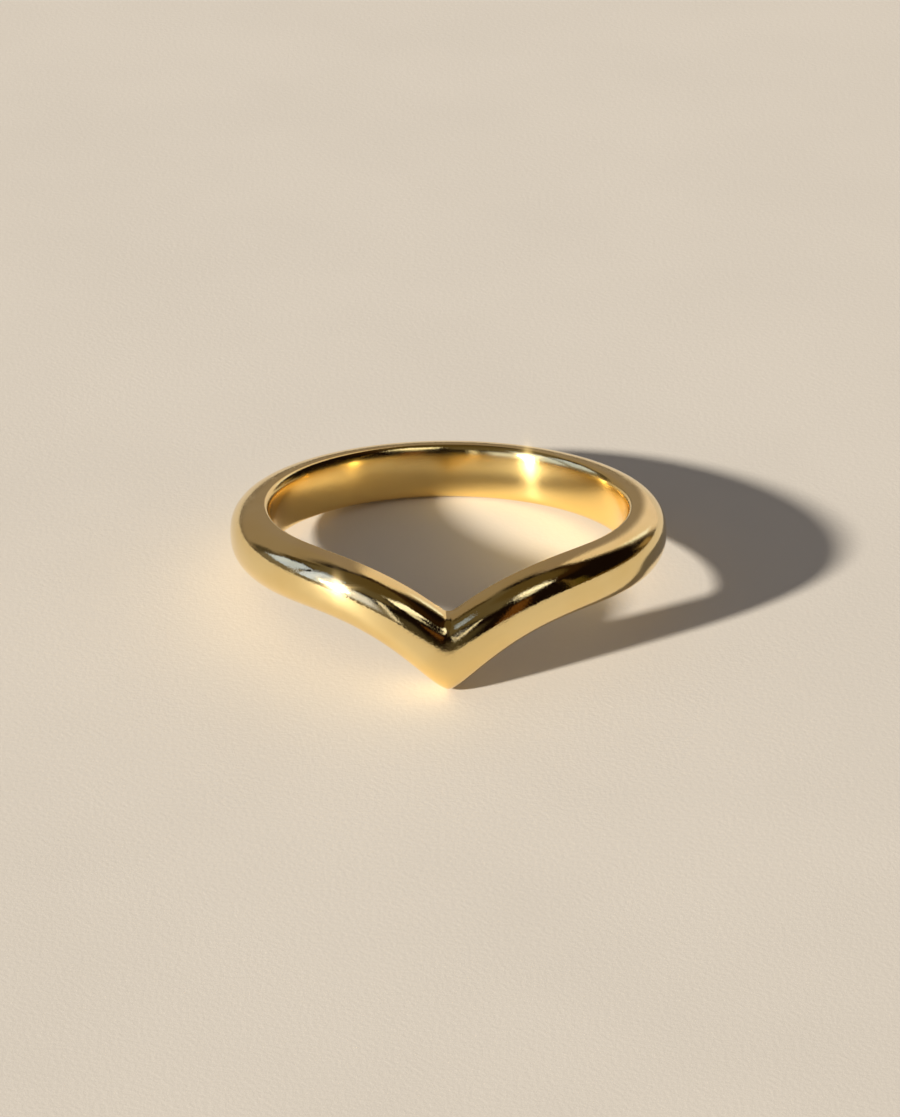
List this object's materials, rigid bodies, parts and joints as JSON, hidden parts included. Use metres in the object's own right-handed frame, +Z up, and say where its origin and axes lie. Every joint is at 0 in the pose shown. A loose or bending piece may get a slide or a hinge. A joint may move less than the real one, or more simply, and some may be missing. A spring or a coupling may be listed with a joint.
{
  "type": "chevron ring",
  "caption": "Plain gold chevron ring with a domed band whose front dips to a rounded point; it lies as it rests by itself.",
  "frame": {"origin": "middle of the ring's box, on the surface that it lies on", "axes": "+Z up from the surface; the point is at -Y and the back of the hoop at +Y; +X to the right seen from the point"},
  "size_m": [0.0204, 0.0206, 0.0054],
  "materials": {
    "gold": "polished yellow gold"
  },
  "bodies": {
    "root": {"band": "gold"}
  },
  "joints": []
}
